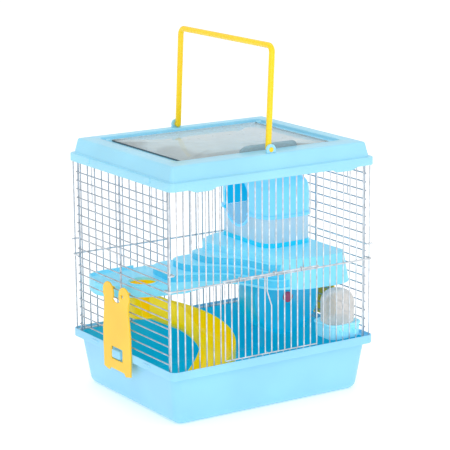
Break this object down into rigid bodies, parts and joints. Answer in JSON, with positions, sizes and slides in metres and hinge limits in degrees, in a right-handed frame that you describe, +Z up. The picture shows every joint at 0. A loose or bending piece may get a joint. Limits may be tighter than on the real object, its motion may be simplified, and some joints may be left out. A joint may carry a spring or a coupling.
{
  "type": "hamster cage",
  "caption": "Small-animal wire cage with moulded tray, clear-hatched lid, folding carry handle, side latches, platforms with stairs and slide, hide, wheel and feeder.",
  "frame": {"origin": "middle of the tray's underside, where the cage stands", "axes": "+X along the long side to the feeder's end, +Y to the back away from the door, +Z up"},
  "size_m": [0.3092, 0.25, 0.4544],
  "materials": {
    "tray_plastic": "satin moulded",
    "wire": "bright plated wire",
    "lid_plastic": "satin moulded",
    "socket_plastic": "satin moulded",
    "clear_panel": "clear, lightly smoked",
    "yellow_plastic": "gloss moulded",
    "latch_plastic": "gloss moulded",
    "platform_plastic": "satin moulded",
    "slide_plastic": "gloss moulded",
    "deep_blue_plastic": "gloss moulded",
    "frosted_plastic": "frosted translucent",
    "roof_plastic": "satin moulded",
    "red_plastic": "gloss moulded",
    "axle_steel": "drawn",
    "dome_plastic": "clear, smoked"
  },
  "bodies": {
    "cage": {"base_tray": "tray_plastic", "front_wall": "wire", "front_wall_rails": "wire", "back_wall": "wire", "back_wall_rails": "wire", "left_wall": "wire", "right_wall": "wire", "left_wall_rail": "wire", "right_wall_rail": "wire", "lid_clip_wires": "wire", "door_hinge_loops": "wire", "lid_frame": "lid_plastic", "handle_socket_front": "socket_plastic", "handle_socket_back": "socket_plastic", "hatch_hinge_lugs": "lid_plastic", "low_platform": "platform_plastic", "stairs": "platform_plastic", "high_platform": "platform_plastic", "platform_clips": "platform_plastic", "slide": "slide_plastic", "house_ring": "deep_blue_plastic", "house_body": "frosted_plastic", "house_doorway_rim": "roof_plastic", "wheel_axle": "axle_steel", "wheel_bracket": "latch_plastic", "feeder_base": "platform_plastic", "feeder_clips": "platform_plastic", "feeder_dome": "dome_plastic"},
    "hatch": {"hatch_panel": "clear_panel", "hatch_grip": "clear_panel", "hatch_hinge_pins": "clear_panel"},
    "handle": {"carry_handle": "yellow_plastic", "handle_pegs": "yellow_plastic"},
    "door": {"front_door": "wire", "door_latch_bar": "wire", "door_latch_hook": "wire"},
    "latch_left_body": {"latch_left": "latch_plastic", "latch_clips_left": "latch_plastic"},
    "latch_right_body": {"latch_right": "latch_plastic", "latch_clips_right": "latch_plastic"},
    "wheel_body": {"wheel": "deep_blue_plastic", "wheel_hub_cap": "red_plastic"},
    "roof": {"house_roof": "roof_plastic"}
  },
  "joints": [
    {"name": "hatch_hinge", "type": "hinge", "parent": "cage", "child": "hatch", "pos_m": [0.0023, 0.0887, 0.31865], "axis": [-1, 0, 0], "range_deg": [0, 42]},
    {"name": "handle_hinge", "type": "hinge", "parent": "cage", "child": "handle", "pos_m": [0.0023, 0, 0.32585], "axis": [0, 1, 0], "range_deg": [-92, 86]},
    {"name": "door_hinge", "type": "hinge", "parent": "cage", "child": "door", "pos_m": [-0.00507, -0.12157, 0.1743], "axis": [-1, 0, 0], "range_deg": [0, 100]},
    {"name": "latch_left_hinge", "type": "hinge", "parent": "cage", "child": "latch_left_body", "pos_m": [-0.1464, 0.005, 0.1464], "axis": [0, 1, 0], "range_deg": [0, 30]},
    {"name": "latch_right_hinge", "type": "hinge", "parent": "cage", "child": "latch_right_body", "pos_m": [0.1464, -0.005, 0.1464], "axis": [0, -1, 0], "range_deg": [0, 30]},
    {"name": "wheel_spin", "type": "hinge", "parent": "cage", "child": "wheel_body", "pos_m": [0.0805, -0.031, 0.112], "axis": [0, 1, 0], "continuous": true},
    {"name": "roof_lift", "type": "slide", "parent": "cage", "child": "roof", "axis": [0, 0, 1], "range_m": [0, 0.025]}
  ]
}
